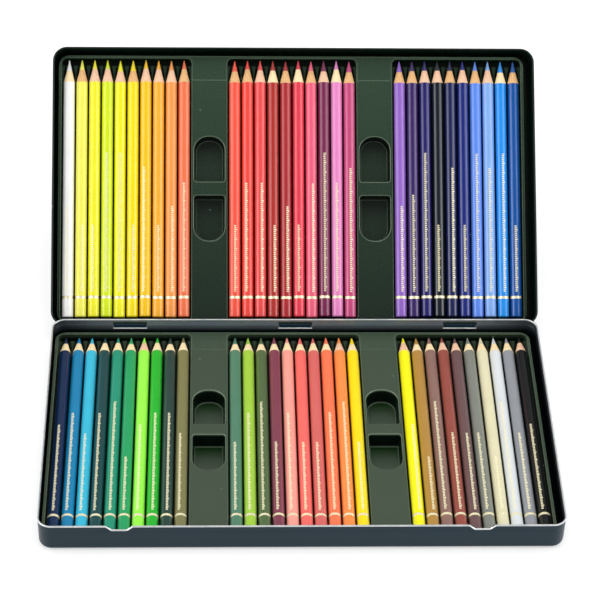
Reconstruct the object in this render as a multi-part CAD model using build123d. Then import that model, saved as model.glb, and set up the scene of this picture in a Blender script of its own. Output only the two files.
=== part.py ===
from build123d import *

import os

# A hinged steel tin holding coloured pencils: thirty in the base, thirty in the lid.
# Millimetres. X runs to the right along the hinge, Y runs from the front edge back to the
# hinge, Z is up. The origin is the centre of the base's underside. The lid is modelled
# wide open, leaning back behind the hinge.

# --- Pencils ----------------------------------------------------------------------------
pencil_diameter = 7.6
pencil_length = 175.0
pencil_cone = 15.4          # sharpened length
pencil_end_radius = 0.8
lead_diameter = 3.4
lead_fit = 0.02             # glue gap between the lead and its casing
lead_end_cover = 1.5        # lacquered cap over the lead at the blunt end
lead_tip_radius = 0.35
pencil_pitch = 8.61
pencils_per_row = 10
land_between_rows = 25.6
pencil_axis_drop = 1.2      # pencil axis below the land
base_tip_gap = 4.7          # pencil tips to the tray's edge, in the base
lid_tip_gap = 3.0           # pencil tips to the tray's edge, in the lid

# --- Base tin ---------------------------------------------------------------------------
base_room_x = 7.1           # base over its rolled rim, wider than its tray by this
base_room_y = 3.9           # and deeper than its tray by this
base_height = 21.4          # underside to the top of the rolled rim
base_corner_radius = 8.6    # plan view, over the rim
base_sheet = 0.4            # steel sheet thickness
base_rim_radius = 0.55      # the rolled edge is a bead of this radius
base_edge_radius = 3.5      # drawn radius between the walls and the floor

# --- Thumb notches in the base's front rim ------------------------------------------------
notch_spacing = 220.0       # centre to centre
notch_offset = -1.0         # middle of the pair, from the tin's middle
notch_mouth = 16.0          # width at the rim
notch_floor = 9.5           # width at the bottom of the dip
notch_depth = 3.2
notch_bend = 2.0            # bend radius of the rim where it dips

# --- Lid tin ----------------------------------------------------------------------------
lid_clearance_side = 0.9    # base rim to the middle of the lid's wall, each side
lid_clearance_front = 0.9   # base rim to the middle of the lid's wall, at the front
lid_height = 19.4           # rim plane to the outer panel
lid_sheet = 0.35
lid_rim_radius = 0.6
lid_corner_radius = 9.0     # plan view, middle of the wall
lid_edge_radius = 3.5
lid_open_lean = 41.5        # the open lid rises this many degrees behind the hinge

# --- Hinge ------------------------------------------------------------------------------
hinge_spacing = 109.7       # between neighbouring lugs
hinge_setback = 0.8         # base rim to the hinge line
hinge_height = 15.4         # hinge line above the table
lug_width = 21.6
lug_sheet = 0.4
lug_running_gap = 0.06      # between the lid's rolled edge and the lug curled round it
lug_end_gap = 0.4           # from a lug's end to the end of its window
window_bottom = 14.0        # the window punched in the base's back wall
window_top = 19.3
lip_height = 0.6            # the bare cut lip under each window
lip_reach = 0.45

# --- Formed plastic trays, one in the base and one in the lid -----------------------------
tray_side_land = 2.65       # tray's edge to the outer rows, each side
tray_spare_length = 6.7     # tray longer than a pencil by this
tray_height = 11.1          # resting face to the top of the land
tray_sheet = 0.6
tray_corner_radius = 6.9
tray_shift_x = -1.4         # both trays sit a little left of the tins' middle
base_tray_front_gap = 1.5   # base rim's outer edge to the tray
lid_tray_hinge_gap = 2.0    # hinge line to the lid's tray
tray_skirt_lift = 2.2       # the outer skirt stops this far above the resting face
tray_rim_radius = 0.4
tray_step_from_tips = 16.6  # the land drops a step near the tips
tray_step_depth = 0.35

# --- Pencil pockets in the trays ----------------------------------------------------------
trough_gap = 0.25           # barrel to trough
pocket_side_gap = 1.3       # barrel to the pocket's side wall at the land
pocket_front_wall = 1.3     # land between the pocket and the tray's front edge
pocket_tip_wall = 1.6       # land between the pocket and the tray's edge at the tips
pocket_corner_radius = 3.5
pocket_mouth_radius = 0.35
pocket_draft = 8.0          # degrees
crest_drop = 0.8            # ridge between troughs, below the pencil axis
trough_end_gap = 6.6        # where the troughs end, before the tray's edge at the tips
taper_length = 6.0          # the troughs narrow over this length at the tips
taper_radius = 3.0          # to this radius
gutter_drop = 4.8           # floor of the gutter under the tips, below the pencil axis

# --- Finger wells between the rows --------------------------------------------------------
well_side_land = 2.35       # well to the neighbouring rows, each side
well_length = 31.0
well_gap = 9.2              # between the two flat ends
well_round_flat = 1.7       # straight middle of the round end
well_flat_radius = 2.0      # corners of the flat end
well_draft = 8.0            # degrees
well_mouth_radius = 0.6

LOOSE = 1.0                 # cutters run this far past what they cut

# --- Values that follow from the sizes above ----------------------------------------------
row_width = pencils_per_row * pencil_pitch
row_spacing = row_width + land_between_rows
tray_width = 2 * row_spacing + row_width + 2 * tray_side_land
tray_length = pencil_length + tray_spare_length
well_width = land_between_rows - 2 * well_side_land
well_round_radius = (well_width - well_round_flat) / 2
base_width = tray_width + base_room_x       # over the rolled rim, left to right
base_depth = tray_length + base_room_y      # over the rolled rim, front to back
base_wall_x = base_width / 2 - base_rim_radius
base_wall_y = base_depth / 2 - base_rim_radius
rim_height = base_height - base_rim_radius
lid_wall_x = base_width / 2 + lid_clearance_side
hinge_y = base_depth / 2 + hinge_setback
lid_depth = hinge_y + base_depth / 2 + lid_clearance_front
lid_place = Pos(0, hinge_y, hinge_height) * Rot(lid_open_lean, 0, 0)
row_reach = (pencils_per_row - 1) * pencil_pitch / 2
trough_radius = pencil_diameter / 2 + trough_gap
pocket_half = row_reach + pencil_diameter / 2 + pocket_side_gap
axis_height = tray_height - pencil_axis_drop
crest_height = axis_height - crest_drop
trough_end = tray_length - trough_end_gap
base_tray_place = Pos(tray_shift_x, -base_depth / 2 + base_tray_front_gap, base_sheet)
lid_tray_place = lid_place * Pos(tray_shift_x, lid_tray_hinge_gap, lid_sheet - lid_height)
lead_tip_length = pencil_cone * lead_diameter / pencil_diameter

# Each row holds three colour families, in order from the left.
row_names = ["left", "middle", "right"]
family_sizes = [3, 4, 3]
lid_families = {
    "left": ["pale_yellow", "yellow", "orange"],
    "middle": ["scarlet", "crimson", "pink"],
    "right": ["violet", "indigo", "sky_blue"],
}
base_families = {
    "left": ["marine_blue", "teal_green", "leaf_green"],
    "middle": ["olive_green", "coral", "amber"],
    "right": ["ochre", "brown", "grey"],
}


def drawn_tin(wall_x, front, back, height, sheet, corner, edge):
    """An open box of drawn sheet with its floor at z = 0; wall_x, front and back are mid-wall."""
    grow = sheet / 2
    middle = (front + back) / 2

    def block(reach, low):
        plan = RectangleRounded(2 * (wall_x + reach), back - front + 2 * reach, corner + reach)
        solid = extrude(Pos(0, middle, low) * plan, height - low)
        bottom = solid.edges().group_by(Axis.Z)[0]
        return fillet(bottom, edge - (0 if reach > 0 else sheet))

    return block(grow, 0) - block(-grow, sheet)


def rolled_rim(path, radius):
    """A bead that follows the top of a wall."""
    section = Plane(origin=path @ 0, z_dir=path % 0) * Circle(radius)
    return sweep(section, path=path)


def notch_points(centre, front):
    """The dip of the front rim at one thumb notch, from left to right."""
    low = rim_height - notch_depth
    return [
        (centre - notch_mouth / 2, front, rim_height),
        (centre - notch_floor / 2, front, low),
        (centre + notch_floor / 2, front, low),
        (centre + notch_mouth / 2, front, rim_height),
    ]


def base_rim_path():
    """The rim's centre line: round the four corners and down into both notches."""
    corner = base_corner_radius - base_rim_radius
    x = base_wall_x
    y = base_wall_y
    left = notch_points(notch_offset - notch_spacing / 2, -y)
    right = notch_points(notch_offset + notch_spacing / 2, -y)
    points = [(0, -y, rim_height)]
    radii = []
    for point in right:
        points.append(point)
        radii.append(notch_bend)
    for point in [(x, -y), (x, y), (-x, y), (-x, -y)]:
        points.append((*point, rim_height))
        radii.append(corner)
    for point in left:
        points.append(point)
        radii.append(notch_bend)
    half = FilletPolyline(*points, (-1, -y, rim_height), radius=radii)
    return half + Line((-1, -y, rim_height), (0, -y, rim_height))


def hinge_lug(x):
    """A tongue of the back wall, bent out under its window and curled round the lid's edge."""
    inner = lid_rim_radius + lug_running_gap
    outer = inner + lug_sheet
    # The curl stops short of the lid's wall, both when the lid is open and when it is shut.
    wall_angle = 15.0
    end_shut = 90 + wall_angle + 4
    end_open = 270 + lid_open_lean - wall_angle - 4
    section = Circle(outer) - Circle(inner)
    mouth = Polygon(
        (0, 0),
        Vector(3 * outer, 0).rotate(Axis.Z, end_open),
        Vector(5 * outer, 0).rotate(Axis.Z, (end_open + end_shut - 360) / 2),
        Vector(3 * outer, 0).rotate(Axis.Z, end_shut),
        align=None,
    )
    section -= mouth
    root_inside = base_wall_y - base_sheet / 2 - hinge_y
    root_low = window_bottom - lug_sheet - hinge_height
    root = Pos(root_inside, root_low) * Rectangle(
        -inner / 2 - root_inside, inner / 2 - outer - root_low, align=(Align.MIN, Align.MIN)
    )
    section += root
    plane = Plane(origin=(x - lug_width / 2, hinge_y, hinge_height), x_dir=(0, 1, 0), z_dir=(1, 0, 0))
    return extrude(plane * section, lug_width)


def hinge_lip(x):
    """The cut lip folded inwards along the bottom of a window."""
    inside = base_wall_y - base_sheet / 2
    return Pos(x, inside - lip_reach, window_bottom - lug_sheet) * Box(
        lug_width + 2 * lug_end_gap,
        lip_reach + base_sheet / 2,
        lip_height,
        align=(Align.CENTER, Align.MIN, Align.MAX),
    )


def base_tin():
    """Floor, walls, rolled rim with two thumb notches, and the three hinge lugs."""
    tin = drawn_tin(
        base_wall_x,
        -base_wall_y,
        base_wall_y,
        rim_height,
        base_sheet,
        base_corner_radius - base_rim_radius,
        base_edge_radius,
    )
    for side in [-1, 1]:
        centre = notch_offset + side * notch_spacing / 2
        dip = notch_points(centre, 0)
        outline = [(point[0], point[2]) for point in dip]
        outline += [(outline[-1][0], rim_height + LOOSE), (outline[0][0], rim_height + LOOSE)]
        plane = Plane(origin=(0, -base_wall_y + LOOSE, 0), x_dir=(1, 0, 0), z_dir=(0, -1, 0))
        tin -= extrude(plane * Polygon(*outline, align=None), 2 * LOOSE)
    tin += rolled_rim(base_rim_path(), base_rim_radius)
    for x in [-hinge_spacing, 0, hinge_spacing]:
        window = Pos(x, base_wall_y, (window_bottom + window_top) / 2) * Box(
            lug_width + 2 * lug_end_gap, 4 * base_sheet, window_top - window_bottom
        )
        tin -= window
        tin += hinge_lug(x)
        tin += hinge_lip(x)
    return tin


def lid_tin():
    """The lid's panel, walls and rolled edge; the edge at the back is the hinge's pin."""
    tin = drawn_tin(
        lid_wall_x, 0, lid_depth, lid_height, lid_sheet, lid_corner_radius, lid_edge_radius
    )
    tin = Pos(0, 0, -lid_height) * tin
    corner = lid_corner_radius
    x = lid_wall_x
    points = [(0, 0, 0), (x, 0, 0), (x, lid_depth, 0), (-x, lid_depth, 0), (-x, 0, 0), (-1, 0, 0)]
    path = FilletPolyline(*points, radius=[corner] * 4) + Line((-1, 0, 0), (0, 0, 0))
    tin += rolled_rim(path, lid_rim_radius)
    return lid_place * tin


def tapered(plan, top, depth, draft):
    """A cutter that narrows as it goes down from the height top."""
    return extrude(Pos(0, 0, top) * plan, -depth, taper=draft)


def row_centres():
    return [-row_spacing, 0, row_spacing]


def pencil_offsets():
    return [i * pencil_pitch - row_reach for i in range(pencils_per_row)]


def pocket(x, grow):
    """The space of one row's pocket, its walls and floor moved out by grow."""
    low = pocket_front_wall - grow
    high = tray_length - pocket_tip_wall + grow
    plan = Pos(x, (low + high) / 2) * RectangleRounded(
        2 * (pocket_half + grow), high - low, pocket_corner_radius + grow
    )
    depth = pencil_axis_drop + gutter_drop + grow + LOOSE
    space = tapered(plan, tray_height, depth, pocket_draft)
    run = high - low + 2 * LOOSE
    floor = Pos(x, low - LOOSE, crest_height - grow) * Box(
        2 * pocket_half + 2 * grow + 2 * LOOSE,
        run,
        tray_height,
        align=(Align.CENTER, Align.MIN, Align.MIN),
    )
    gutter = Pos(x, trough_end - grow, axis_height - gutter_drop - grow) * Box(
        2 * pocket_half + 2 * grow + 2 * LOOSE,
        run,
        tray_height,
        align=(Align.CENTER, Align.MIN, Align.MIN),
    )
    shape = floor + gutter
    straight = trough_end - taper_length
    for offset in pencil_offsets():
        barrel = Plane(origin=(x + offset, low - LOOSE, axis_height), z_dir=(0, 1, 0))
        shape += extrude(barrel * Circle(trough_radius + grow), straight - low + LOOSE)
        taper = Plane(origin=(x + offset, straight + taper_length / 2, axis_height), z_dir=(0, 1, 0))
        shape += taper * Cone(trough_radius + grow, taper_radius + grow, taper_length)
    return space & shape


def well_plan(x, side, grow):
    """A D seen from above: round at one end and flat at the end next to its twin."""
    half = well_width / 2 + grow
    near = well_gap / 2 - grow
    far = well_gap / 2 + well_length + grow
    outline = Polygon((-half, near), (half, near), (half, far), (-half, far), align=None)
    corners = outline.vertices().group_by(Axis.Y)
    outline = fillet(corners[0], well_flat_radius + grow)
    corners = outline.vertices().group_by(Axis.Y)
    outline = fillet(corners[-1], well_round_radius + grow)
    if side < 0:
        outline = mirror(outline, Plane.XZ)
    return Pos(x, tray_length / 2) * outline


def wells(grow, depth):
    """The four finger wells, two in each land between the rows."""
    shapes = []
    for x in [-row_spacing / 2, row_spacing / 2]:
        for side in [-1, 1]:
            shapes.append(tapered(well_plan(x, side, grow), tray_height, depth, well_draft))
    return shapes


def land_of(skin):
    """The flat top face of a tray."""
    return skin.faces().sort_by(Axis.Z)[-1]


def tray():
    """A formed sheet: land, skirt, three pockets of troughs and four finger wells."""
    middle = tray_length / 2
    plan = Pos(0, middle, tray_skirt_lift) * RectangleRounded(
        tray_width, tray_length, tray_corner_radius
    )
    skin = extrude(plan, tray_height - tray_skirt_lift)
    for x in row_centres():
        skin -= pocket(x, 0)
    mouths = [edge for wire in land_of(skin).inner_wires() for edge in wire.edges()]
    skin = fillet(mouths, pocket_mouth_radius)
    skin = fillet(land_of(skin).outer_wire().edges(), tray_rim_radius)
    for well in wells(tray_sheet, tray_height):
        skin += well
    for well in wells(0, tray_height - tray_sheet):
        skin -= well
    round_a_well = 2 * (well_width + well_length)
    mouths = [
        edge
        for wire in land_of(skin).inner_wires()
        if wire.length < round_a_well
        for edge in wire.edges()
    ]
    skin = fillet(mouths, well_mouth_radius)
    step = Pos(0, tray_length - tray_step_from_tips, tray_height - tray_step_depth) * Box(
        tray_width + 2 * LOOSE, tray_length, LOOSE, align=(Align.CENTER, Align.MIN, Align.MIN)
    )
    skin -= step
    core_plan = Pos(0, middle, -LOOSE) * RectangleRounded(
        tray_width - 2 * tray_sheet,
        tray_length - 2 * tray_sheet,
        tray_corner_radius - tray_sheet,
    )
    core = extrude(core_plan, tray_height - tray_sheet + LOOSE)
    for x in row_centres():
        core -= pocket(x, tray_sheet)
    for well in wells(tray_sheet, tray_height):
        core -= well
    return skin - core


def casing():
    """A round barrel sharpened to a cone, tip at the origin, running towards -Y."""
    radius = pencil_diameter / 2
    lead = lead_diameter / 2
    profile = Polygon(
        (lead, -lead_tip_length),
        (radius, -pencil_cone),
        (radius, -pencil_length),
        (0, -pencil_length),
        (0, -lead_tip_length),
        align=None,
    )
    end = profile.vertices().sort_by(Axis.Y).group_by(Axis.Y)[0].sort_by(Axis.X)[-1]
    solid = revolve(fillet(end, pencil_end_radius), Axis.Y)
    length = pencil_length - lead_end_cover
    bore = Plane(origin=(0, 0, 0), z_dir=(0, -1, 0)) * Circle(lead + lead_fit)
    return solid - extrude(bore, length)


def lead():
    """The coloured core, pointed at the origin."""
    radius = lead_diameter / 2
    profile = Polygon(
        (0, 0),
        (radius, -lead_tip_length),
        (radius, lead_end_cover + lead_fit - pencil_length),
        (0, lead_end_cover + lead_fit - pencil_length),
        align=None,
    )
    return revolve(profile, Axis.Y)


def blunt_lead():
    """The lead with its point worn to a small radius, so that it ends where the pencil ends."""
    solid = lead()
    cut = lead_tip_radius
    return solid - Pos(0, -cut / 2, 0) * Box(2 * LOOSE, cut, 2 * LOOSE)


def family(piece, place, row_x, tip, first, count):
    """Copies of one piece at neighbouring places of a row."""
    offsets = pencil_offsets()[first : first + count]
    return [place * Pos(row_x + offset, tip, axis_height) * piece for offset in offsets]


def save(name, shapes):
    """Write one node; a node of several pieces keeps them as separate solids."""
    solids = [solid for shape in shapes for solid in shape.solids()]
    node = solids[0] if len(solids) == 1 else Compound(children=solids)
    export_step(node, f"parts/{name}.step")
    print(f"{name}: {len(solids)} solid(s), {sum(s.volume for s in solids):.0f} mm3")


def save_pencils(half, families, place, tip_gap):
    """Write the casings and leads of one tray's thirty pencils, one family at a time."""
    tip = tray_length - tip_gap
    casing_piece = casing()
    lead_piece = blunt_lead()
    for row, row_x in zip(row_names, row_centres()):
        first = 0
        for name, count in zip(families[row], family_sizes):
            node = f"{half}_{row}_{name}"
            save(f"{node}_casings", family(casing_piece, place, row_x, tip, first, count))
            save(f"{node}_leads", family(lead_piece, place, row_x, tip, first, count))
            first += count


os.makedirs("parts", exist_ok=True)
tray_piece = tray()
save("base_tin", [base_tin()])
save("base_tray", [base_tray_place * tray_piece])
save("lid_tin", [lid_tin()])
save("lid_tray", [lid_tray_place * tray_piece])
save_pencils("base", base_families, base_tray_place, base_tip_gap)
save_pencils("lid", lid_families, lid_tray_place, lid_tip_gap)
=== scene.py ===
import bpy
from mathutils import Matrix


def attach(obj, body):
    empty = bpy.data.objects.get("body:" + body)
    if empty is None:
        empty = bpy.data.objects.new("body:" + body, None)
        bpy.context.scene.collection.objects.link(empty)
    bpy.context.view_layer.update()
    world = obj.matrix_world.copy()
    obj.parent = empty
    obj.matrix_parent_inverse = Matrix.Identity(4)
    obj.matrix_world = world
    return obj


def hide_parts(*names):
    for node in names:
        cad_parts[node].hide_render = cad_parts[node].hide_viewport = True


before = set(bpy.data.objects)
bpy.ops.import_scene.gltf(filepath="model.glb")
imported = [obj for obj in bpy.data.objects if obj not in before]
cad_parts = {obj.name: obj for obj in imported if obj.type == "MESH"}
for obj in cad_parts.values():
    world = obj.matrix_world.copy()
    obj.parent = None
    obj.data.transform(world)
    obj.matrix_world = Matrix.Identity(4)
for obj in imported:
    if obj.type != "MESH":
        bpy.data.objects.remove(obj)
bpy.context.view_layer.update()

# %% [markdown]
# ## Sizes
# The sizes are the CAD model's own, written here in millimetres and turned to metres once. The lid
# is modelled in its own plain frame, with its rim in the plane z = 0 and its hinge edge along the
# X axis, and LID_PLACE then leans it back by 41.5 degrees at the hinge line. Both trays carry the
# same pencils in the same way, so one matrix for each tray places all thirty.
# %% Sizes in metres
import math

import bmesh
import bpy
from mathutils import Matrix, Vector

MM = 0.001
WALL_X, WALL_Y = 160.4 * MM, 92.25 * MM       # middle of the base's walls
BASE_RIM_Z, BASE_BEAD = 20.85 * MM, 0.55 * MM
BASE_CORNER, BASE_SHEET, DRAWN_EDGE = 8.05 * MM, 0.4 * MM, 3.5 * MM
LID_X, LID_DEPTH, LID_HEIGHT = 161.85 * MM, 187.3 * MM, 19.4 * MM
LID_CORNER, LID_SHEET, LID_BEAD = 9.0 * MM, 0.35 * MM, 0.6 * MM
HINGE_Y, HINGE_Z, LEAN = 93.6 * MM, 15.4 * MM, math.radians(41.5)
LUG_X, LUG_WIDTH = (-109.7 * MM, 0.0, 109.7 * MM), 21.6 * MM
LID_PLACE = Matrix.Translation((0, HINGE_Y, HINGE_Z)) @ Matrix.Rotation(LEAN, 4, "X")
TRAY_X, BASE_TRAY_FRONT, LID_TRAY_FRONT = -1.4 * MM, -91.3 * MM, 2.0 * MM
BASE_TRAY_PLACE = Matrix.Translation((TRAY_X, BASE_TRAY_FRONT, BASE_SHEET))
LID_TRAY_PLACE = LID_PLACE @ Matrix.Translation((TRAY_X, LID_TRAY_FRONT, LID_SHEET - LID_HEIGHT))
TRAY_LENGTH, AXIS_HEIGHT, ROW_SPACING, PITCH = 181.7 * MM, 9.9 * MM, 111.7 * MM, 8.61 * MM
print("hinge line at y %.1f mm, z %.1f mm" % (HINGE_Y / MM, HINGE_Z / MM))

# %% [markdown]
# ## Camera
# The tin was seen from in front and above, a little to the left, by a long lens: the lens and the
# place come from lines that are straight and level on the real tin. A long lens keeps the pencils
# nearly parallel. The camera's axes are built from three angles: yaw, pitch and a slight roll.
# %% Camera
SENSOR, IMAGE_SIDE, FOCAL_PIXELS = 36.0, 600, 2289.6
YAW, PITCH_DOWN, ROLL = math.radians(2.791), math.radians(41.94), math.radians(1.884)
CAMERA_PLACE = Vector((-0.0521, -1.0286, 1.0468))

forward = Vector((
    math.sin(YAW) * math.cos(PITCH_DOWN),
    math.cos(YAW) * math.cos(PITCH_DOWN),
    -math.sin(PITCH_DOWN),
))
level = Vector((math.cos(YAW), -math.sin(YAW), 0))
upright = level.cross(forward)
right = math.cos(ROLL) * level + math.sin(ROLL) * upright
up = -math.sin(ROLL) * level + math.cos(ROLL) * upright
bpy.ops.object.camera_add()
camera = bpy.context.object
camera.name = "camera"
camera.data.sensor_width = SENSOR
camera.data.lens = FOCAL_PIXELS * SENSOR / IMAGE_SIDE
camera.matrix_world = Matrix.Translation(CAMERA_PLACE) @ Matrix((right, up, -forward)).transposed().to_4x4()
bpy.context.scene.camera = camera
bpy.context.scene.view_settings.view_transform = "Standard"
print("lens %.1f mm" % camera.data.lens)

# %% [markdown]
# ## Colours and nodes
# Colours are written as the sRGB hex values that a painter would pick, and one function turns them
# to the linear values that a shader wants. One more small function adds a node with its settings
# and its inputs, so that a material reads from top to bottom. An input is a number, a hex colour
# or what another node gives. A Math node works on its inputs 0 and 1. A Map Range takes input 0
# from the range 1 to 2 into the range 3 to 4, or 0 to 1 if none is given. A colour Mix goes from
# input 6 to input 7 by the share in its input 0.
# %% Helpers for materials
def linear(hex_colour):
    """sRGB hex to a linear RGBA tuple."""
    out = []
    for start in (0, 2, 4):
        value = int(hex_colour[start:start + 2], 16) / 255
        out.append(value / 12.92 if value <= 0.04045 else ((value + 0.055) / 1.055) ** 2.4)
    return (*out, 1.0)


def add(tree, kind, inputs=None, **settings):
    """Add a node; an input may be a value, a hex colour, an output, or a node for its first output in use."""
    node = tree.nodes.new(kind)
    for name, value in settings.items():
        setattr(node, name, value)
    for key, value in (inputs or {}).items():
        if isinstance(value, bpy.types.Node):
            value = next(output for output in value.outputs if output.enabled)
        if isinstance(value, bpy.types.NodeSocket):
            tree.links.new(value, node.inputs[key])
        else:
            node.inputs[key].default_value = linear(value) if isinstance(value, str) else value
    return node


def new_material(name):
    """An empty node material and its tree."""
    material = bpy.data.materials.new(name)
    material.use_nodes = True
    material.node_tree.nodes.clear()
    return material, material.node_tree


def by_mirror(tree, rays):
    """1 for a ray that looks by way of a shiny or clear piece, else 0."""
    kinds = {0: rays["Is Glossy Ray"], 1: rays["Is Transmission Ray"]}
    return add(tree, "ShaderNodeMath", kinds, operation="MAXIMUM")


def per_mm(size_mm):
    """The Scale of a texture whose features are size_mm across, on coordinates in metres."""
    return 1 / (size_mm * MM)


def darker(hex_colour, share):
    """The same colour with a share of black in it, linear."""
    red, green, blue, alpha = linear(hex_colour)
    return (red * (1 - share), green * (1 - share), blue * (1 - share), alpha)


print("a mid grey, 808080, is linear %.3f" % linear("808080")[0])

# %% [markdown]
# ## Floor
# The floor is a plain pale sheet. What the camera and the shiny pieces see of it is lifted to
# white by its own glow, while its diffuse part still takes the tin's shadow. Light Path tells the
# material which rays are looking.
# %% Floor
FLOOR_SIDE, FLOOR_DROP = 12.0, 0.2 * MM
FLOOR_GREY, FLOOR_GLOW = 0.64, 0.46   # linear

bpy.ops.mesh.primitive_plane_add(size=FLOOR_SIDE, location=(0, 0, -FLOOR_DROP))
floor = bpy.context.object
floor.name = "floor"
paper, tree = new_material("white_table")
rays = add(tree, "ShaderNodeLightPath").outputs
shiny = by_mirror(tree, rays)
seen = add(tree, "ShaderNodeMath", {0: rays["Is Camera Ray"], 1: shiny}, operation="MAXIMUM")
strength = add(tree, "ShaderNodeMath", {0: seen, 1: FLOOR_GLOW}, operation="MULTIPLY")
glow = add(tree, "ShaderNodeEmission", {"Color": "ffffff", "Strength": strength})
matte = add(tree, "ShaderNodeBsdfDiffuse", {"Color": (FLOOR_GREY, FLOOR_GREY, FLOOR_GREY, 1)})
both = add(tree, "ShaderNodeAddShader", {0: glow, 1: matte})
add(tree, "ShaderNodeOutputMaterial", {"Surface": both})
floor.data.materials.append(paper)
print("floor", FLOOR_SIDE, "m wide")

# %% [markdown]
# ## Room
# The tin is lit for a catalogue: a white room, soft boxes and a bright curtain on each side. On the
# round lacquered barrels of the lid each side leaves one soft stripe. The room is white near the
# horizon, and a pale backdrop rises behind the tin. Overhead and behind the camera it is dim, so
# that polished pieces have something dark to reflect too. The camera itself sees plain white.
# %% Room
SIDE_LIGHT, BACKDROP_LIGHT, DIM_LIGHT, ROOM_LIGHT = 3.0, 0.30, 0.14, 0.70

world = bpy.data.worlds.new("white_room")
bpy.context.scene.world = world
world.use_nodes = True
tree = world.node_tree
tree.nodes.clear()
way = add(tree, "ShaderNodeSeparateXYZ", {0: add(tree, "ShaderNodeTexCoord").outputs["Generated"]})
to_right, to_back, to_top = way.outputs
horizon = add(tree, "ShaderNodeMapRange", {0: to_top, 1: 0.20, 2: 0.50, 3: 1.0, 4: DIM_LIGHT})
behind = add(tree, "ShaderNodeMapRange", {0: to_back, 1: 0.30, 2: 0.65, 3: DIM_LIGHT, 4: BACKDROP_LIGHT})
sideways = add(tree, "ShaderNodeMath", {0: to_right}, operation="ABSOLUTE")
to_a_side = add(tree, "ShaderNodeMapRange", {0: sideways, 1: 0.70, 2: 0.84, 4: SIDE_LIGHT})
below_top = add(tree, "ShaderNodeMapRange", {0: to_top, 1: 0.42, 2: 0.53, 3: 1.0, 4: 0.0})
curtains = add(tree, "ShaderNodeMath", {0: to_a_side, 1: below_top}, operation="MULTIPLY")
walls = add(tree, "ShaderNodeMath", {0: horizon, 1: behind}, operation="MAXIMUM")
mirrored_room = add(tree, "ShaderNodeMath", {0: walls, 1: curtains}, operation="MAXIMUM")

rays = add(tree, "ShaderNodeLightPath").outputs
shiny = by_mirror(tree, rays)
in_mirror = add(tree, "ShaderNodeMath", {0: shiny, 1: mirrored_room}, operation="MULTIPLY")
to_eye = add(tree, "ShaderNodeMath", {0: in_mirror, 1: rays["Is Camera Ray"]}, operation="ADD")
looking = add(tree, "ShaderNodeMath", {0: shiny, 1: rays["Is Camera Ray"]}, operation="ADD")
others = add(tree, "ShaderNodeMath", {0: 1.0, 1: looking}, operation="SUBTRACT")
others = add(tree, "ShaderNodeMath", {0: others, 1: 0.0}, operation="MAXIMUM")
on_matte = add(tree, "ShaderNodeMath", {0: others, 1: ROOM_LIGHT}, operation="MULTIPLY")
light = add(tree, "ShaderNodeMath", {0: to_eye, 1: on_matte}, operation="ADD")
sky = add(tree, "ShaderNodeBackground", {"Color": "ffffff", "Strength": light})
add(tree, "ShaderNodeOutputWorld", {"Surface": sky})
print("the room's light on matte surfaces:", ROOM_LIGHT)

# %% [markdown]
# ## Soft boxes
# Three area lamps give the shadows and the shine: a broad one overhead and one at each side. The
# side ones stand where a round barrel of the lid mirrors them next to the curtain, so that box and
# curtain make one broad stripe. Each is turned to the tin by tracking its own -Z axis to it.
# %% Soft boxes
TIN_MIDDLE = Vector((0, 0.05, 0.03))


def soft_box(name, place, size, power):
    """A rectangular area lamp that looks at the tin; place and size in metres, power in watts."""
    bpy.ops.object.light_add(type="AREA", location=place)
    lamp = bpy.context.object
    lamp.name = name
    lamp.data.shape = "RECTANGLE"
    lamp.data.size, lamp.data.size_y = size
    lamp.data.energy = power
    lamp.rotation_euler = (TIN_MIDDLE - Vector(place)).to_track_quat("-Z", "Y").to_euler()


soft_box("box_left", (-1.60, -0.45, 1.10), (0.9, 1.5), 10)
soft_box("box_right", (1.60, -0.45, 1.10), (0.9, 1.5), 10)
soft_box("box_top", (0.0, 0.35, 2.0), (1.8, 1.2), 15)
print("three soft boxes")

# %% [markdown]
# ## Baked enamel on tinplate
# Pencil tins are tinplate, printed flat with a baked enamel and then drawn to shape. The enamel is
# very dark slate green, smooth and fairly glossy, so most of what the eye gets is the white room
# in it. Baking leaves a faint orange peel about a millimetre across, and handling leaves a few
# pale specks of dust, drawn a little larger than life so that they show.
# %% Enamel
def dust(tree, place, size_mm, amount):
    """Sparse specks: cells of a Voronoi pattern whose own random value is in the top few."""
    cells = add(tree, "ShaderNodeTexVoronoi", {"Vector": place, "Scale": per_mm(size_mm)})
    near = add(tree, "ShaderNodeMapRange", {0: cells.outputs["Distance"], 1: 0.05, 2: 0.11, 3: 1.0, 4: 0.0})
    random_value = add(tree, "ShaderNodeSeparateColor", {0: cells.outputs["Color"]})
    chosen = add(tree, "ShaderNodeMath", {0: random_value, 1: 1 - amount}, operation="GREATER_THAN")
    return add(tree, "ShaderNodeMath", {0: near, 1: chosen}, operation="MULTIPLY")


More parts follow.
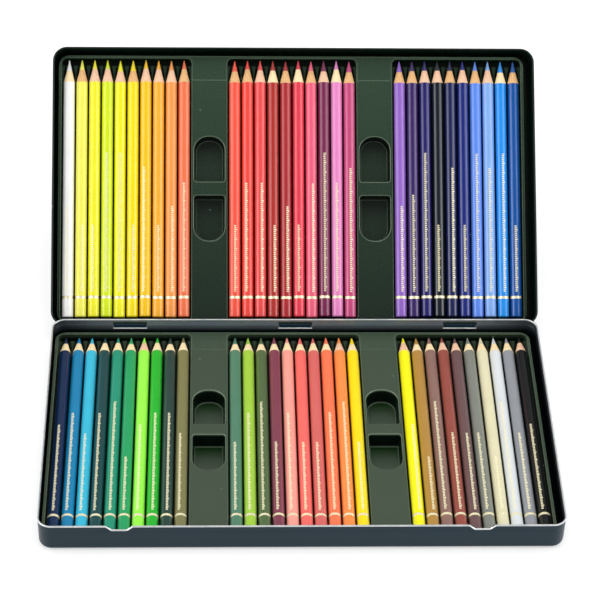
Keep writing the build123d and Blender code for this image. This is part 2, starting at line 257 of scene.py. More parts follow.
def baked_enamel(name, dark, light, gloss):
    material, tree = new_material(name)
    place = add(tree, "ShaderNodeTexCoord").outputs["Object"]
    cloud = add(tree, "ShaderNodeTexNoise", {"Vector": place, "Scale": per_mm(60), "Detail": 3.0})
    peel = add(tree, "ShaderNodeTexNoise", {"Vector": place, "Scale": per_mm(1.4), "Detail": 1.0})
    colour = add(tree, "ShaderNodeMix", {0: cloud, 6: dark, 7: light}, data_type="RGBA")
    faint_dust = add(tree, "ShaderNodeMath", {0: dust(tree, place, 9, 0.10), 1: 0.35}, operation="MULTIPLY")
    colour = add(tree, "ShaderNodeMix", {0: faint_dust, 6: colour, 7: "9aa39f"}, data_type="RGBA")
    bump = add(tree, "ShaderNodeBump", {"Height": peel, "Strength": 0.25, "Distance": 0.01 * MM})
    roughness = add(tree, "ShaderNodeMapRange", {0: cloud, 1: 0.3, 2: 0.7, 3: 0.28, 4: 0.36})
    shader = add(tree, "ShaderNodeBsdfPrincipled", {
        "Base Color": colour, "Roughness": roughness, "Normal": bump,
        "Specular IOR Level": gloss, "IOR": 1.5,
    })
    add(tree, "ShaderNodeOutputMaterial", {"Surface": shader})
    return material


base_enamel = baked_enamel("baked_enamel_base", "0f2732", "152f3c", 0.22)
lid_enamel = baked_enamel("baked_enamel_lid", "0b1912", "11241c", 0.28)
print("enamels:", base_enamel.name, lid_enamel.name)

# %% [markdown]
# ## Bare tinplate
# The sheared edge is rolled over into a bead, and the enamel cracks off it, so the bead shows
# bright tin. Tin is a pale, slightly warm metal. The rolling leaves fine streaks along the bead,
# which only change how sharp its reflections are. An edge that is cut and not rolled is given a
# near-white, mostly matte colour: bare metal with a painted highlight, so it looks white from every side.
# %% Tinplate
def rolled_tinplate(name, colour, roughness, metallic):
    material, tree = new_material(name)
    place = add(tree, "ShaderNodeTexCoord").outputs["Object"]
    streak = add(tree, "ShaderNodeTexNoise", {"Vector": place, "Scale": per_mm(5), "Detail": 4.0})
    worn = add(tree, "ShaderNodeMapRange", {0: streak, 1: 0.35, 2: 0.7})
    tint = add(tree, "ShaderNodeMix", {0: worn, 6: colour, 7: "c9cfd2"}, data_type="RGBA")
    matt = add(tree, "ShaderNodeMapRange", {0: streak, 1: 0.3, 2: 0.7, 3: roughness, 4: roughness + 0.14})
    shader = add(tree, "ShaderNodeBsdfPrincipled", {
        "Base Color": tint, "Roughness": matt, "Metallic": metallic,
    })
    add(tree, "ShaderNodeOutputMaterial", {"Surface": shader})
    return material


tinplate = rolled_tinplate("bare_tinplate", "e4e7e6", 0.30, 0.8)
# Painted highlight: near white and mostly matte, so that the cut edges show as a bright line under any light.
cut_edge_highlight = rolled_tinplate("cut_tinplate_painted_highlight", "fafbfb", 0.45, 0.2)
print("bare metal:", tinplate.name, cut_edge_highlight.name)

# %% [markdown]
# ## Varnish inside
# Inside, the base's walls have only a thin smoky varnish, so the tin under it still mirrors the
# pencils a little. The walls are painted darker low down near the tray and on the two short walls:
# painted shade. Height and distance from the middle tell the material where that is.
# %% Varnish inside
def varnished_tinplate(name, dark, light):
    material, tree = new_material(name)
    place = add(tree, "ShaderNodeTexCoord").outputs["Object"]
    cloud = add(tree, "ShaderNodeTexNoise", {"Vector": place, "Scale": per_mm(25), "Detail": 3.0})
    parts = add(tree, "ShaderNodeSeparateXYZ", {0: place})
    sideways = add(tree, "ShaderNodeMath", {0: parts.outputs[0]}, operation="ABSOLUTE")
    above_tray = add(tree, "ShaderNodeMapRange", {0: parts.outputs[2], 1: 11.5 * MM, 2: 18 * MM})
    off_end_walls = add(tree, "ShaderNodeMapRange", {0: sideways, 1: 110 * MM, 2: 158 * MM, 3: 1.0, 4: 0.25})
    # Painted shade: this share falls to 0 low down near the tray and to a quarter at the short walls, where
    # the wall turns towards the near-black 10161a.
    painted_lit_share = add(tree, "ShaderNodeMath", {0: above_tray, 1: off_end_walls}, operation="MULTIPLY")
    thin = add(tree, "ShaderNodeMix", {0: cloud, 6: dark, 7: light}, data_type="RGBA")
    colour = add(tree, "ShaderNodeMix", {0: painted_lit_share, 6: "10161a", 7: thin}, data_type="RGBA")
    roughness = add(tree, "ShaderNodeMapRange", {0: cloud, 1: 0.3, 2: 0.7, 3: 0.26, 4: 0.36})
    shader = add(tree, "ShaderNodeBsdfPrincipled", {
        "Base Color": colour, "Roughness": roughness, "Metallic": 0.45,
    })
    add(tree, "ShaderNodeOutputMaterial", {"Surface": shader})
    return material


inner_varnish = varnished_tinplate("varnished_tinplate", "7c8a96", "8f9ca6")
print("varnish:", inner_varnish.name)

# %% [markdown]
# ## Helpers for shaping
# Pieces are shaped the way a modeller would at the desk: add a primitive, go to edit mode, pick
# faces or edges by where they are, and extrude or bevel them. These helpers do the picking. Every
# finished piece has its place in its mesh, so its object stays at the origin.
# %% Helpers for shaping
CLOSE = 0.01 * MM   # places nearer than this are the same place


def clear_selection():
    if bpy.context.object and bpy.context.object.mode != "OBJECT":
        bpy.ops.object.mode_set(mode="OBJECT")
    for thing in bpy.context.selected_objects:
        thing.select_set(False)


def only(thing):
    """Make one object the selected and active one."""
    clear_selection()
    thing.select_set(True)
    bpy.context.view_layer.objects.active = thing


def edit(thing, kind):
    """Edit mode with nothing selected, picking VERT, EDGE or FACE."""
    only(thing)
    bpy.ops.object.mode_set(mode="EDIT")
    bpy.ops.mesh.select_mode(type=kind)
    bpy.ops.mesh.select_all(action="DESELECT")


def pick(thing, group, test):
    """Select the verts, edges or faces that pass the test, and flush that to the mesh."""
    mesh = bmesh.from_edit_mesh(thing.data)
    for item in getattr(mesh, group):
        item.select_set(False)
    chosen = [item for item in getattr(mesh, group) if test(item)]
    for item in chosen:
        item.select_set(True)
    mesh.select_flush_mode()
    bmesh.update_edit_mesh(thing.data)


def apply_all(thing):
    """Apply every modifier in order."""
    only(thing)
    for modifier in list(thing.modifiers):
        bpy.ops.object.modifier_apply(modifier=modifier.name)


def settle(thing, place=None):
    """Move the object's place into its mesh, then put it where the frame wants it."""
    only(thing)
    bpy.ops.object.transform_apply(location=True, rotation=True, scale=True)
    if place is not None:
        thing.data.transform(place)
    thing.data.update()


def finish_piece(thing, name, material, body, angle=35):
    """Name the piece, smooth it over edges of less than angle degrees, finish it and let it ride."""
    only(thing)
    bpy.ops.object.shade_smooth_by_angle(angle=math.radians(angle))
    thing.name = name
    thing.data.name = name
    thing.data.materials.clear()
    thing.data.materials.append(material)
    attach(thing, body)
    print(name, len(thing.data.polygons), "faces")


# %% [markdown]
# ## Drawn tins
# A drawn tin starts as a flat sheet and is pressed into a shallow box with round corners, so its
# walls and floor are one sheet of even thickness. The same is done here: a box, its four upright
# edges rounded, its bottom edge rounded less, its open side removed, and a Solidify that gives
# the sheet its thickness towards the inside. The base has a shallow crease pressed round it, where
# the shut lid's edge stops: three cuts are made across the walls and the middle one is drawn in.
# %% Drawn tins
CREASE_HALF, CREASE_DEPTH = 0.25 * MM, 0.10 * MM


def drawn_tin(half_x, front, back, height, sheet, corner, crease=0.0):
    """An open box of sheet, floor at z = 0; half_x, front and back are mid-wall."""
    grow = sheet / 2
    size = (2 * (half_x + grow), back - front + sheet, height)
    bpy.ops.mesh.primitive_cube_add(size=1, location=(0, (front + back) / 2, height / 2), scale=size)
    tin = bpy.context.object
    settle(tin)
    edit(tin, "EDGE")
    pick(tin, "edges", lambda e: abs(e.verts[0].co.z - e.verts[1].co.z) > height / 2)
    bpy.ops.mesh.bevel(offset=corner + grow, segments=14, affect="EDGES")
    pick(tin, "edges", lambda e: all(v.co.z < CLOSE for v in e.verts))
    bpy.ops.mesh.bevel(offset=DRAWN_EDGE, segments=7, affect="EDGES")
    pick(tin, "faces", lambda f: f.calc_center_median().z > height - CLOSE)
    bpy.ops.mesh.delete(type="FACE")
    if crease:
        for z in (crease - CREASE_HALF, crease, crease + CREASE_HALF):
            bpy.ops.mesh.select_all(action="SELECT")
            bpy.ops.mesh.bisect(plane_co=(0, 0, z), plane_no=(0, 0, 1))
        pick(tin, "verts", lambda v: abs(v.co.z - crease) < CLOSE)
        narrower = (1 - CREASE_DEPTH / half_x, 1 - 2 * CREASE_DEPTH / (back - front), 1)
        bpy.ops.transform.resize(value=narrower, center_override=(0, (front + back) / 2, crease))
    bpy.ops.object.mode_set(mode="OBJECT")
    solid = tin.modifiers.new("sheet", "SOLIDIFY")
    solid.thickness, solid.offset = sheet, -1
    apply_all(tin)
    return tin


def cut(thing, cutter):
    """Take the cutter out of the piece and remove it."""
    punch = thing.modifiers.new("punch", "BOOLEAN")
    punch.operation, punch.object, punch.solver = "DIFFERENCE", cutter, "EXACT"
    apply_all(thing)
    bpy.data.objects.remove(cutter)


base_shell = drawn_tin(WALL_X, -WALL_Y, WALL_Y, BASE_RIM_Z, BASE_SHEET, BASE_CORNER, 16.4 * MM)
print("base shell:", len(base_shell.data.polygons), "faces")

# %% [markdown]
# ## Thumb notches and hinge windows
# Two shallow dips in the front rim let a thumb get under the lid. In the back wall three windows
# are punched, and the metal of each is folded out to hold the lid. Both are cut here with solid
# cutters, the dips with a box whose lower face is made narrower, as a punch would be.
# %% Cut the notches and windows
NOTCH_X = (-111.0 * MM, 109.0 * MM)
NOTCH_MOUTH, NOTCH_FLOOR, NOTCH_DEPTH = 16.0 * MM, 9.5 * MM, 3.2 * MM
PUNCH_DEPTH, WINDOW_PUNCH_DEPTH = 2 * MM, 1.6 * MM   # more than the sheet's thickness

for notch_x in NOTCH_X:
    clear_selection()
    bpy.ops.mesh.primitive_cube_add(
        size=1, location=(notch_x, -WALL_Y, BASE_RIM_Z - NOTCH_DEPTH / 2 + PUNCH_DEPTH / 2),
        scale=(NOTCH_MOUTH, PUNCH_DEPTH, NOTCH_DEPTH + PUNCH_DEPTH),
    )
    punch_tool = bpy.context.object
    settle(punch_tool)
    edit(punch_tool, "FACE")
    low = BASE_RIM_Z - NOTCH_DEPTH
    pick(punch_tool, "faces", lambda f: f.calc_center_median().z < low + CLOSE)
    bpy.ops.transform.resize(
        value=(NOTCH_FLOOR / NOTCH_MOUTH, 1, 1), center_override=(notch_x, -WALL_Y, low)
    )
    bpy.ops.object.mode_set(mode="OBJECT")
    cut(base_shell, punch_tool)

WINDOW_LOW, WINDOW_HIGH, WINDOW_WIDTH = 14.0 * MM, 19.3 * MM, 22.4 * MM
for lug_x in LUG_X:
    clear_selection()
    bpy.ops.mesh.primitive_cube_add(
        size=1, location=(lug_x, WALL_Y, (WINDOW_LOW + WINDOW_HIGH) / 2),
        scale=(WINDOW_WIDTH, WINDOW_PUNCH_DEPTH, WINDOW_HIGH - WINDOW_LOW),
    )
    settle(bpy.context.object)
    cut(base_shell, bpy.context.object)
finish_piece(base_shell, "base_shell", base_enamel, "base", angle=18)
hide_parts("base_tin")
base_shell.data.materials.append(inner_varnish)
inner_x, inner_y = WALL_X - BASE_SHEET / 4, WALL_Y - BASE_SHEET / 4
for face in base_shell.data.polygons:
    toward_middle = face.normal.x * face.center.x + face.normal.y * face.center.y < 0
    within = abs(face.center.x) < inner_x and abs(face.center.y) < inner_y
    face.material_index = 1 if within and (toward_middle or face.normal.z > 0.1) else 0

# %% [markdown]
# ## Rolled rims
# The bead on each rim is a round wire of metal that follows the wall's top. A path is drawn by
# extruding a single vertex from corner to corner, its corners are rounded by a vertex bevel, and
# the path is turned to a curve with a round section, and back to a mesh.
# %% Rolled rims
def wire(points, bends, radius, name):
    """A closed wire through the points; bends gives each point's tangent length."""
    clear_selection()
    bpy.ops.mesh.primitive_plane_add(size=1 * MM)
    path = bpy.context.object
    edit(path, "VERT")
    bpy.ops.mesh.select_all(action="SELECT")
    bpy.ops.mesh.merge(type="CENTER")
    bpy.ops.transform.translate(value=points[0])
    for start, end in zip(points, points[1:]):
        step = Vector(end) - Vector(start)
        bpy.ops.mesh.extrude_region_move(TRANSFORM_OT_translate={"value": step})
    ends = (Vector(points[0]), Vector(points[-1]))
    pick(path, "verts", lambda v: min((v.co - end).length for end in ends) < CLOSE)
    bpy.ops.mesh.edge_face_add()
    for tangent, segments in sorted(set(bends)):
        chosen = [Vector(p) for p, bend in zip(points, bends) if bend == (tangent, segments)]
        if tangent:
            pick(path, "verts", lambda v: min((v.co - p).length for p in chosen) < CLOSE)
            bpy.ops.mesh.bevel(offset=tangent, segments=segments, affect="VERTICES")
    bpy.ops.object.mode_set(mode="OBJECT")
    bpy.ops.object.convert(target="CURVE")
    path.data.bevel_depth, path.data.bevel_resolution = radius, 5
    bpy.ops.object.convert(target="MESH")
    path = bpy.context.object
    path.name = name
    return path


NOTCH_BEND = (0.82 * MM, 5)
corner_bend = (BASE_CORNER, 12)
points, bends = [], []
for notch_x in reversed(NOTCH_X):
    half_mouth, half_floor = NOTCH_MOUTH / 2, NOTCH_FLOOR / 2
    for x, z in ((half_mouth, 0), (half_floor, -NOTCH_DEPTH), (-half_floor, -NOTCH_DEPTH), (-half_mouth, 0)):
        points.append((notch_x + x, -WALL_Y, BASE_RIM_Z + z))
        bends.append(NOTCH_BEND)
for x, y in ((-WALL_X, -WALL_Y), (-WALL_X, WALL_Y), (WALL_X, WALL_Y), (WALL_X, -WALL_Y)):
    points.append((x, y, BASE_RIM_Z))
    bends.append(corner_bend)
base_rim = wire(points, bends, BASE_BEAD, "base_rim")
finish_piece(base_rim, "base_rim", tinplate, "base", angle=60)
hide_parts("base_tin")

# %% [markdown]
# ## Lid
# The lid is drawn the same way. It is shaped in its own frame, mouth up, and only then leaned back
# at the hinge. Its bead is enamelled, and the part of it along the hinge is the hinge's pin.
# %% Lid
lid_shell = drawn_tin(LID_X, 0, LID_DEPTH, LID_HEIGHT, LID_SHEET, LID_CORNER)
settle(lid_shell, LID_PLACE @ Matrix.Translation((0, 0, -LID_HEIGHT)))
finish_piece(lid_shell, "lid_shell", lid_enamel, "lid")
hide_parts("lid_tin")

corners = [(-LID_X, 0, 0), (-LID_X, LID_DEPTH, 0), (LID_X, LID_DEPTH, 0), (LID_X, 0, 0)]
lid_rim = wire(corners, [(LID_CORNER, 12)] * 4, LID_BEAD, "lid_rim")
settle(lid_rim, LID_PLACE)
finish_piece(lid_rim, "lid_rim", lid_enamel, "lid", angle=60)
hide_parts("lid_tin")

# %% [markdown]
# ## Hinge tongues
# Each window's metal is a tongue, folded out of the wall and curled round the lid's bead. A sheet
# could be bent round the bead, but a tube is round from the start: the faces on its open side are
# deleted, the sheet gets its thickness, and a small block joins it to the wall below the window.
# The three are alike, so one is modelled at the middle and copied along the hinge.
# %% Hinge tongues
CURL_INNER, CURL_OUTER, CURL_STEPS = 0.66 * MM, 1.06 * MM, 96
MOUTH_FROM, MOUTH_TO = 292.5, 109   # degrees round the hinge line, from +Y towards +Z
ROOT_IN, ROOT_DOWN = 0.94 * MM, 1.265 * MM
ROOT_DEPTH, ROOT_HEIGHT = 1.22 * MM, 1.07 * MM


def in_mouth(face):
    arm = face.calc_center_median() - Vector((0, HINGE_Y, HINGE_Z))
    angle = math.degrees(math.atan2(arm.z, arm.y)) % 360
    return angle < MOUTH_TO or angle > MOUTH_FROM


def copy_along_hinge(middle_one, name, material):
    """Three finished pieces, one for each window."""
    for side, lug_x in zip(("left", "middle", "right"), LUG_X):
        piece = middle_one.copy()
        piece.data = middle_one.data.copy()
        bpy.context.scene.collection.objects.link(piece)
        piece.data.transform(Matrix.Translation((lug_x, 0, 0)))
        finish_piece(piece, f"{name}_{side}", material, "base", angle=40)
        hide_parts("base_tin")
    bpy.data.objects.remove(middle_one)


clear_selection()
bpy.ops.mesh.primitive_cylinder_add(
    vertices=CURL_STEPS, radius=CURL_OUTER, depth=LUG_WIDTH, end_fill_type="NOTHING",
    location=(0, HINGE_Y, HINGE_Z), rotation=(0, math.radians(90), 0),
)
tongue = bpy.context.object
settle(tongue)
edit(tongue, "FACE")
pick(tongue, "faces", in_mouth)
bpy.ops.mesh.delete(type="FACE")
bpy.ops.object.mode_set(mode="OBJECT")
curl = tongue.modifiers.new("sheet", "SOLIDIFY")
curl.thickness, curl.offset = CURL_OUTER - CURL_INNER, -1
apply_all(tongue)
clear_selection()
bpy.ops.mesh.primitive_cube_add(
    size=1, location=(0, HINGE_Y - ROOT_IN, HINGE_Z - ROOT_DOWN), scale=(LUG_WIDTH, ROOT_DEPTH, ROOT_HEIGHT),
)
root = bpy.context.object
settle(root)
weld = tongue.modifiers.new("weld", "BOOLEAN")
weld.operation, weld.object, weld.solver = "UNION", root, "EXACT"
apply_all(tongue)
bpy.data.objects.remove(root)
copy_along_hinge(tongue, "hinge_tongue", base_enamel)

# %% [markdown]
# ## Cut lips
# Below each window the sheet was sheared and its edge stays bare; its near-white finish is a painted
# highlight. It is a thin bar along the window's lower edge with its long edges rounded, so that it shows as a
# bright line.
# %% Cut lips
LIP_DEPTH, LIP_HEIGHT, LIP_ROUND = 0.5 * MM, 0.7 * MM, 0.24 * MM

clear_selection()
bpy.ops.mesh.primitive_cube_add(
    size=1, location=(0, WALL_Y - BASE_SHEET / 2 - 0.4 * LIP_DEPTH, WINDOW_LOW - LIP_HEIGHT / 2),
    scale=(WINDOW_WIDTH, LIP_DEPTH, LIP_HEIGHT),
)
lip = bpy.context.object
settle(lip)
edit(lip, "EDGE")
pick(lip, "edges", lambda e: abs(e.verts[0].co.x - e.verts[1].co.x) > LUG_WIDTH / 2)
bpy.ops.mesh.bevel(offset=LIP_ROUND, segments=4, affect="EDGES")
bpy.ops.object.mode_set(mode="OBJECT")
copy_along_hinge(lip, "hinge_lip", cut_edge_highlight)

# %% [markdown]
# ## Formed trays
# Both trays are one sheet of polystyrene, warmed and sucked down over a mould. The CAD node has
# the right shape already, so it stays and only gets its finish. The moulded surface is a fine
# eggshell: the mould's grit, about a third of a millimetre, drawn at half a millimetre so that it
# shows. A pale line is a painted highlight along the top edges and at the foot of the walls: a Bevel
# node rounds the normals near an edge, and where they then differ from the true ones the line is
# drawn. The deep troughs are painted almost black, as painted shade, and their shine is turned down.
# Height above the tray's foot and the way from its front edge tell the material where it is: both
# are dot products with the tray's own axes, so they follow the leaning lid too. The two wells of a
# pair start one pitch apart, and each floor is painted deeper green towards its back, under its
# wall, as painted shade. The lid's tray is painted darker towards the pencils' blunt ends, by the
# hinge: painted shade too.
# %% Formed polystyrene
WELL_BACK, WELL_PITCH = 126.5 * MM, 40.2 * MM
EDGE_ROUND = 0.9 * MM


def formed_polystyrene(name, tray_place, front, tips, well_shade):
    """The sheet's colours at the pencils' blunt ends and at their tips (a darker end is painted shade), and
    the painted shade at the back of a finger well's floor.
    """
    material, tree = new_material(name)
    where = add(tree, "ShaderNodeTexCoord")
    place = where.outputs["Object"]
    straight_up = tray_place.to_3x3() @ Vector((0, 0, 1))

    def way_along(direction):
        """How far a point is from the tray's corner along one of the tray's own axes."""
        axis = tray_place.to_3x3() @ Vector(direction)
        dot = add(tree, "ShaderNodeVectorMath", {0: place, 1: axis}, operation="DOT_PRODUCT")
        corner = tray_place.translation.dot(axis)
        return add(tree, "ShaderNodeMath", {0: dot, 1: corner}, operation="SUBTRACT")

    height, along = way_along((0, 0, 1)), way_along((0, 1, 0))
    upward = {0: where.outputs["Normal"], 1: straight_up}
    level = add(tree, "ShaderNodeVectorMath", upward, operation="DOT_PRODUCT")
    bent = add(tree, "ShaderNodeMapRange", {0: level, 1: 0.88, 2: 0.97, 3: 1.0, 4: 0.0})
    rounded = add(tree, "ShaderNodeBevel", {"Radius": EDGE_ROUND}, samples=4)
    both_normals = {0: rounded, 1: add(tree, "ShaderNodeNewGeometry").outputs["Normal"]}
    alike = add(tree, "ShaderNodeVectorMath", both_normals, operation="DOT_PRODUCT")
    near_edge = add(tree, "ShaderNodeMapRange", {0: alike, 1: 0.80, 2: 0.99, 3: 1.0, 4: 0.0})
    edge = add(tree, "ShaderNodeMath", {0: bent, 1: near_edge}, operation="MAXIMUM")
    top = add(tree, "ShaderNodeMapRange", {0: height, 1: 10.35 * MM, 2: 10.55 * MM})
    foot = add(tree, "ShaderNodeMapRange", {0: height, 1: 1.4 * MM, 2: 1.8 * MM, 3: 1.0, 4: 0.0})
    top_or_foot = add(tree, "ShaderNodeMath", {0: top, 1: foot}, operation="MAXIMUM")
    # Painted highlight: a pale line where the normals bend, along the top edges and at the foot of the walls.
    highlight_places = add(tree, "ShaderNodeMath", {0: edge, 1: top_or_foot}, operation="MULTIPLY")
    edge_highlight_line = add(tree, "ShaderNodeMath", {0: highlight_places, 1: 0.75}, operation="MULTIPLY")

    flow = add(tree, "ShaderNodeTexNoise", {"Vector": place, "Scale": per_mm(45), "Detail": 2.0})
    uneven = add(tree, "ShaderNodeMath", {0: flow, 1: 0.2}, operation="MULTIPLY")
    # Painted shade: the land runs from the front colour to the tips' colour, and on the lid's tray the darker
    # front by the hinge is painted shade.
    back = add(tree, "ShaderNodeMapRange", {0: along, 1: 20 * MM, 2: 160 * MM, 4: 0.8})
    share = add(tree, "ShaderNodeMath", {0: back, 1: uneven}, operation="ADD")
    land = add(tree, "ShaderNodeMix", {0: share, 6: front, 7: tips}, data_type="RGBA")
    # Painted shade: each well's floor has the darker well colour at its back, under its wall, and turns to
    # the land's colour 3 to 20 mm from there.
    before_back = add(tree, "ShaderNodeMath", {0: WELL_BACK, 1: along}, operation="SUBTRACT")
    in_well = add(tree, "ShaderNodeMath", {0: before_back, 1: WELL_PITCH}, operation="MODULO")
    lit = add(tree, "ShaderNodeMapRange", {0: in_well, 1: 3 * MM, 2: 20 * MM})
    well_floor = add(tree, "ShaderNodeMix", {0: lit, 6: well_shade, 7: land}, data_type="RGBA")
    is_floor = add(tree, "ShaderNodeMapRange", {0: height, 1: 0.7 * MM, 2: 0.9 * MM, 3: 1.0, 4: 0.0})
    by_tips = add(tree, "ShaderNodeMapRange", {0: along, 1: 158 * MM, 2: 168 * MM, 4: 0.5})
    half_up = add(tree, "ShaderNodeMapRange", {0: height, 1: 7 * MM, 2: 9.1 * MM})
    comb = add(tree, "ShaderNodeMath", {0: by_tips, 1: half_up}, operation="MULTIPLY")
    all_up = add(tree, "ShaderNodeMapRange", {0: height, 1: 9.3 * MM, 2: 10.6 * MM})
    open_to_light = add(tree, "ShaderNodeMath", {0: all_up, 1: comb}, operation="MAXIMUM")

    # Painted shade: below the top, except in part on the comb by the tips, the sheet turns to the near-black
    # 08120b; then the floors get their colour, and the pale 73866f line is a painted highlight.
    colour = add(tree, "ShaderNodeMix", {0: open_to_light, 6: "08120b", 7: land}, data_type="RGBA")
    colour = add(tree, "ShaderNodeMix", {0: is_floor, 6: colour, 7: well_floor}, data_type="RGBA")
    colour = add(tree, "ShaderNodeMix", {0: edge_highlight_line, 6: colour, 7: "73866f"}, data_type="RGBA")
    specks = add(tree, "ShaderNodeMath", {0: dust(tree, place, 7, 0.14), 1: 0.5}, operation="MULTIPLY")
    colour = add(tree, "ShaderNodeMix", {0: specks, 6: colour, 7: "8f9c8f"}, data_type="RGBA")
    in_view = add(tree, "ShaderNodeMath", {0: open_to_light, 1: is_floor}, operation="MAXIMUM")
    gloss = add(tree, "ShaderNodeMapRange", {0: in_view, 3: 0.1, 4: 0.5})
    grit = add(tree, "ShaderNodeTexNoise", {"Vector": place, "Scale": per_mm(0.5), "Detail": 2.0})
    bump = add(tree, "ShaderNodeBump", {"Height": grit, "Strength": 0.35, "Distance": 0.02 * MM})
    roughness = add(tree, "ShaderNodeMapRange", {0: grit, 1: 0.3, 2: 0.7, 3: 0.22, 4: 0.32})
    shader = add(tree, "ShaderNodeBsdfPrincipled", {
        "Base Color": colour, "Roughness": roughness, "Normal": bump,
        "Specular IOR Level": gloss, "IOR": 1.55,
    })
    add(tree, "ShaderNodeOutputMaterial", {"Surface": shader})
    return material


# The last colour of each tray is painted shade at the back of a well's floor; the lid's darker first colour
# is painted shade too.
for node_name, tray_place, front, tips, well_shade in (
    ("base_tray", BASE_TRAY_PLACE, "3d4b3a", "3a4a3a", "0e2c0c"),
    ("lid_tray", LID_TRAY_PLACE, "14261b", "2b4330", "14231a"),
):
    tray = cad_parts[node_name]
    tray.data.materials.clear()
    tray.data.materials.append(formed_polystyrene("polystyrene_" + node_name, tray_place, front, tips, well_shade))
    print(node_name, "is finished")

# %% [markdown]
# ## One pencil
# A round cedar pencil: the barrel is lacquered, a shallow groove near the blunt end carries a gold
# foil ring, and the end is dipped once more. It is shaped from a short cylinder at its blunt end,
# by extruding its top cap along the pencil and resizing it at each station, and then the same
# for the rounded end the other way. Smooth shading would bend the shine on the straight barrel
# near its ends, so a ring of faces holds it at the blunt end and a sharp edge where the cone starts.
# %% Stations of the pencil
LENGTH, RADIUS, CONE = 175.0 * MM, 3.8 * MM, 15.4 * MM
RING_LOW, RING_HIGH, GROOVE = 12.4 * MM, 14.2 * MM, 0.2 * MM
END_ROUND, END_HOLD = 0.8 * MM, 1.4 * MM
GROOVE_SLOPE = 0.1 * MM
POINT = ((0.55, 0.35), (0.12, 0.20), (0.0, 0.05))   # mm below the tip, and the radius there
SIDES = 40
LACQUER, FOIL, WOOD, LEAD = range(4)


def draw_out(pencil, z, radius, stations):
    """Extrude the cap that is at height z to each next height and radius in turn."""
    for next_z, next_radius in stations:
        pick(pencil, "faces", lambda f: len(f.verts) == SIDES and abs(f.calc_center_median().z - z) < CLOSE)
        bpy.ops.mesh.extrude_region_move(TRANSFORM_OT_translate={"value": (0, 0, next_z - z)})
        scale = next_radius / radius
        bpy.ops.transform.resize(value=(scale, scale, 1), center_override=(0, 0, next_z))
        z, radius = next_z, next_radius


def pencil_mesh(lead_radius):
    """The pencil stands on its blunt end at the origin, with its tip up."""
    clear_selection()
    bpy.ops.mesh.primitive_cylinder_add(
        vertices=SIDES, radius=RADIUS, depth=RING_LOW - END_HOLD, location=(0, 0, (RING_LOW + END_HOLD) / 2)
    )
    pencil = bpy.context.object
    settle(pencil)
    cone_start = LENGTH - CONE
    lead_start = LENGTH - CONE * lead_radius / RADIUS
    to_tip = [
        (RING_LOW + GROOVE_SLOPE, RADIUS - GROOVE), (RING_HIGH - GROOVE_SLOPE, RADIUS - GROOVE),
        (RING_HIGH, RADIUS), (cone_start, RADIUS), (lead_start, lead_radius),
    ]
    to_tip += [(LENGTH - below * MM, radius * MM) for below, radius in POINT]
    to_end = []
    for turn in (0, 30, 60, 85):
        out, down = math.cos(math.radians(turn)), math.sin(math.radians(turn))
        to_end.append((END_ROUND * (1 - down), RADIUS - END_ROUND * (1 - out)))
    edit(pencil, "FACE")
    draw_out(pencil, RING_LOW, RADIUS, to_tip)
    draw_out(pencil, END_HOLD, RADIUS, to_end)
    pick(pencil, "edges", lambda e: all(abs(v.co.z - cone_start) < CLOSE for v in e.verts))
    bpy.ops.mesh.mark_sharp()
    bpy.ops.object.mode_set(mode="OBJECT")
    for face in pencil.data.polygons:
        height = face.center.z
        if height > lead_start:
            face.material_index = LEAD
        elif height > cone_start:
            face.material_index = WOOD
        elif RING_LOW < height < RING_HIGH:
            face.material_index = FOIL
    only(pencil)
    bpy.ops.object.shade_smooth_by_angle(angle=math.radians(30))
    return pencil


def unroll(pencil):
    """A UV map in metres: u runs round the barrel, v along it, so patterns keep their real size."""
    layer = pencil.data.uv_layers.active or pencil.data.uv_layers.new(name="unrolled")
    for face in pencil.data.polygons:
        angles = []
        for index in face.loop_indices:
            point = pencil.data.vertices[pencil.data.loops[index].vertex_index].co
            angles.append(math.atan2(point.y, point.x))
        if len(angles) < SIDES and max(angles) - min(angles) > math.pi:
            angles = [angle + 2 * math.pi if angle < 0 else angle for angle in angles]
        for index, angle in zip(face.loop_indices, angles):
            point = pencil.data.vertices[pencil.data.loops[index].vertex_index].co
            layer.data[index].uv = (angle * RADIUS, point.z)


masters = []
for lead_radius in (1.55 * MM, 1.7 * MM, 1.9 * MM):
    masters.append(pencil_mesh(lead_radius))
    unroll(masters[-1])
print("one pencil:", len(masters[0].data.polygons), "faces")

# %% [markdown]
# ## Foil, cedar and wax
# The ring is gold foil, pressed on hot, so it is a little wrinkled. Its near-white pale gold, only
# partly metallic, is a painted reflection. The wood is cedar, cut across its grain by the sharpener
# and left bare, and it differs from pencil to pencil. The lead is pigment in wax, so it is duller
# than the lacquer and a little greyer.
# %% Foil, wood and lead
def foil(name):
    material, tree = new_material(name)
    uv = add(tree, "ShaderNodeTexCoord").outputs["UV"]
    grain = add(tree, "ShaderNodeTexNoise", {"Vector": uv, "Scale": per_mm(0.8), "Detail": 2.0})
    # Painted reflection: the pale, near-white gold stands in for a bright room mirrored in the foil; the
    # grain varies it a little.
    colour = add(tree, "ShaderNodeMix", {0: grain, 6: "fbeeb4", 7: "fffbe4"}, data_type="RGBA")
    roughness = add(tree, "ShaderNodeMapRange", {0: grain, 1: 0.3, 2: 0.7, 3: 0.22, 4: 0.32})
    shader = add(tree, "ShaderNodeBsdfPrincipled", {
        "Base Color": colour, "Roughness": roughness, "Metallic": 0.35,
    })
    add(tree, "ShaderNodeOutputMaterial", {"Surface": shader})
    return material


